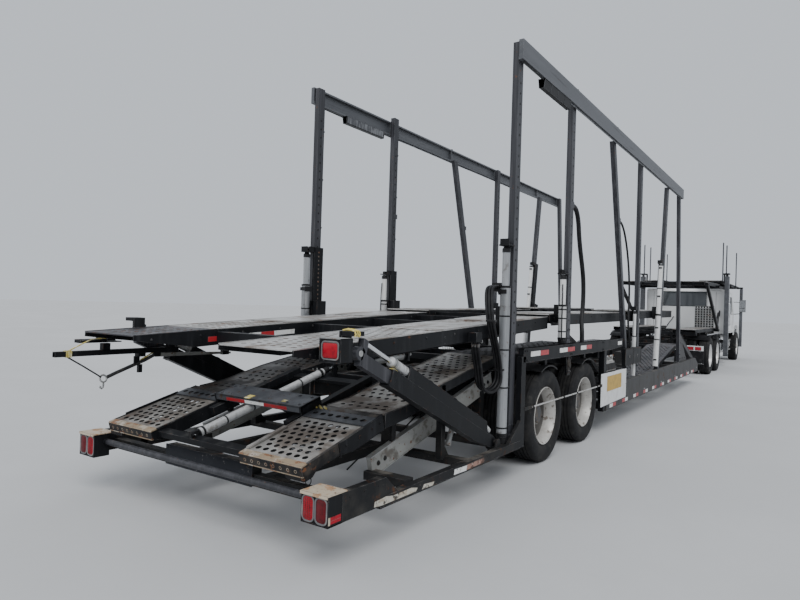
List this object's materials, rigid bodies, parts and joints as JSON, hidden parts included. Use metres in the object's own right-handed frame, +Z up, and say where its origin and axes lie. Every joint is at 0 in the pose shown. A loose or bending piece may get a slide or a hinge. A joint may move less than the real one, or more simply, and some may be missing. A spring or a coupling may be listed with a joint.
{
  "type": "car transporter truck",
  "caption": "Articulated car transporter: conventional tractor with a rack over the cab, hinged to a low open trailer with lifting upper decks and sliding rear ramps.",
  "frame": {"origin": "centre of the whole vehicle's box, on the ground under the tyres", "axes": "+X forward along the vehicle, +Y to its left, +Z up"},
  "size_m": [23.21, 2.96, 4.02],
  "materials": {
    "frame_black": "worn black paint with rust",
    "deck_steel": "worn bare steel with rust stains",
    "post_paint": "charcoal paint, streaked",
    "chrome_rod": "polished rod",
    "barrel_silver": "silver paint",
    "lamp_box": "black box with red lamps",
    "panel_white": "white paint",
    "tyre": "matte tyre on a white disc",
    "wheel_dual": "twin tyres on white discs",
    "axle_black": "painted black",
    "cab_white": "gloss white",
    "glass": "tinted glass",
    "trim_grey": "grey cab trim",
    "bright_metal": "polished",
    "hose_rubber": "black hose"
  },
  "bodies": {
    "trailer": {"belly_frame": "frame_black", "wheel_bay_frame": "frame_black", "fender_beams": "frame_black", "rear_frame": "frame_black", "rear_bumper": "lamp_box", "trailer_axles": "axle_black", "side_posts": "post_paint", "overhead_rails": "post_paint", "lower_tracks_rear": "deck_steel", "lower_tracks_front": "deck_steel", "lift_cylinder_barrels": "barrel_silver", "ramp_cylinder_rod": "chrome_rod", "side_equipment": "panel_white", "p2_hose": "hose_rubber", "p3_hose": "hose_rubber"},
    "ramps": {"loading_ramps": "deck_steel", "ramp_cylinder_barrel": "barrel_silver"},
    "rear_deck": {"rear_deck": "deck_steel", "deck_lamp_box": "lamp_box", "rear_deck_rods": "chrome_rod", "p1_hose_inner": "hose_rubber", "p1_hose_middle": "hose_rubber", "p1_hose_outer": "hose_rubber"},
    "lift_arms": {"lift_arms": "frame_black"},
    "lift_arm_slides": {"lift_arm_slides": "chrome_rod"},
    "middle_deck": {"middle_deck": "deck_steel", "middle_deck_rods": "chrome_rod"},
    "front_deck": {"front_deck": "deck_steel", "front_deck_rods": "chrome_rod"},
    "tractor": {"tractor_frame": "frame_black", "tail_panels": "frame_black", "drive_axles": "axle_black", "front_axle": "axle_black", "engine": "axle_black", "fuel_tanks": "bright_metal", "front_bumper": "bright_metal", "cab_shell": "cab_white", "cab_glass": "glass", "cab_interior": "trim_grey", "mirrors": "trim_grey", "rack_posts": "post_paint", "tractor_lower_deck": "deck_steel", "tractor_upper_deck": "deck_steel"},
    "door_left": {"door_left": "cab_white"},
    "door_right": {"door_right": "cab_white"},
    "hood": {"hood": "cab_white"},
    "rack_deck": {"cab_rack_deck": "deck_steel", "rack_uprights": "post_paint"},
    "knuckle_left": {"knuckle_left": "axle_black"},
    "knuckle_right": {"knuckle_right": "axle_black"},
    "trailer_rear_wheels_left": {"wheels_trailer_rear_left": "wheel_dual"},
    "trailer_front_wheels_left": {"wheels_trailer_front_left": "wheel_dual"},
    "drive_rear_wheels_left": {"wheels_drive_rear_left": "wheel_dual"},
    "drive_front_wheels_left": {"wheels_drive_front_left": "wheel_dual"},
    "steer_wheel_left": {"wheel_steer_left": "tyre"},
    "trailer_rear_wheels_right": {"wheels_trailer_rear_right": "wheel_dual"},
    "trailer_front_wheels_right": {"wheels_trailer_front_right": "wheel_dual"},
    "drive_rear_wheels_right": {"wheels_drive_rear_right": "wheel_dual"},
    "drive_front_wheels_right": {"wheels_drive_front_right": "wheel_dual"},
    "steer_wheel_right": {"wheel_steer_right": "tyre"}
  },
  "joints": [
    {"name": "articulation", "type": "hinge", "parent": "trailer", "child": "tractor", "pos_m": [2.325, 0, 0.44], "axis": [0, 0, 1], "range_deg": [-45, 45]},
    {"name": "rear_deck_lift", "type": "slide", "parent": "trailer", "child": "rear_deck", "axis": [0, 0, 1], "range_m": [0, 1.45]},
    {"name": "lift_arm_swing", "type": "hinge", "parent": "trailer", "child": "lift_arms", "pos_m": [-8.975, 0, 0.376], "axis": [0, 1, 0], "range_deg": [0, 26.21]},
    {"name": "lift_arm_extend", "type": "slide", "parent": "lift_arms", "child": "lift_arm_slides", "axis": [-0.912, 0, 0.4102], "range_m": [0, 0.90282]},
    {"name": "middle_deck_lift", "type": "slide", "parent": "trailer", "child": "middle_deck", "axis": [0, 0, 1], "range_m": [0, 0.64]},
    {"name": "front_deck_lift", "type": "slide", "parent": "trailer", "child": "front_deck", "axis": [0.1442, 0, 0.9895], "range_m": [0, 1.5]},
    {"name": "ramp_extend", "type": "slide", "parent": "trailer", "child": "ramps", "axis": [-0.9677, 0, -0.2521], "range_m": [0, 0.75]},
    {"name": "trailer_rear_left_spin", "type": "hinge", "parent": "trailer", "child": "trailer_rear_wheels_left", "pos_m": [-7.874, 0.9925, 0.466], "axis": [0, 1, 0], "continuous": true},
    {"name": "trailer_rear_right_spin", "type": "hinge", "parent": "trailer", "child": "trailer_rear_wheels_right", "pos_m": [-7.874, -0.9925, 0.466], "axis": [0, 1, 0], "continuous": true},
    {"name": "trailer_front_left_spin", "type": "hinge", "parent": "trailer", "child": "trailer_front_wheels_left", "pos_m": [-6.627, 0.9925, 0.466], "axis": [0, 1, 0], "continuous": true},
    {"name": "trailer_front_right_spin", "type": "hinge", "parent": "trailer", "child": "trailer_front_wheels_right", "pos_m": [-6.627, -0.9925, 0.466], "axis": [0, 1, 0], "continuous": true},
    {"name": "drive_rear_left_spin", "type": "hinge", "parent": "tractor", "child": "drive_rear_wheels_left", "pos_m": [3.775, 0.9675, 0.48], "axis": [0, 1, 0], "continuous": true},
    {"name": "drive_rear_right_spin", "type": "hinge", "parent": "tractor", "child": "drive_rear_wheels_right", "pos_m": [3.775, -0.9675, 0.48], "axis": [0, 1, 0], "continuous": true},
    {"name": "drive_front_left_spin", "type": "hinge", "parent": "tractor", "child": "drive_front_wheels_left", "pos_m": [5.095, 0.9675, 0.48], "axis": [0, 1, 0], "continuous": true},
    {"name": "drive_front_right_spin", "type": "hinge", "parent": "tractor", "child": "drive_front_wheels_right", "pos_m": [5.095, -0.9675, 0.48], "axis": [0, 1, 0], "continuous": true},
    {"name": "steer_left", "type": "hinge", "parent": "tractor", "child": "knuckle_left", "pos_m": [10.285, 0.93, 0.48], "axis": [0, 0, 1], "range_deg": [-35, 35]},
    {"name": "steer_right", "type": "hinge", "parent": "tractor", "child": "knuckle_right", "pos_m": [10.285, -0.93, 0.48], "axis": [0, 0, 1], "range_deg": [-35, 35]},
    {"name": "steer_wheel_left_spin", "type": "hinge", "parent": "knuckle_left", "child": "steer_wheel_left", "pos_m": [10.285, 1.075, 0.48], "axis": [0, 1, 0], "continuous": true},
    {"name": "steer_wheel_right_spin", "type": "hinge", "parent": "knuckle_right", "child": "steer_wheel_right", "pos_m": [10.285, -1.075, 0.48], "axis": [0, 1, 0], "continuous": true},
    {"name": "door_left_hinge", "type": "hinge", "parent": "tractor", "child": "door_left", "pos_m": [9.692, 1.121, 1.6], "axis": [0, 0, -1], "range_deg": [0, 70]},
    {"name": "door_right_hinge", "type": "hinge", "parent": "tractor", "child": "door_right", "pos_m": [9.692, -1.121, 1.6], "axis": [0, 0, 1], "range_deg": [0, 70]},
    {"name": "hood_tilt", "type": "hinge", "parent": "tractor", "child": "hood", "pos_m": [11.465, 0, 0.735], "axis": [0, 1, 0], "range_deg": [0, 40]},
    {"name": "rack_lift", "type": "slide", "parent": "tractor", "child": "rack_deck", "axis": [0, 0, 1], "range_m": [0, 0.9]}
  ],
  "couplings": [
    {"joint": "lift_arm_swing", "follows": "rear_deck_lift", "rad_per_m": 0.31521},
    {"joint": "lift_arm_extend", "follows": "rear_deck_lift", "ratio": 0.62229},
    {"joint": "steer_right", "follows": "steer_left", "ratio": 1}
  ]
}
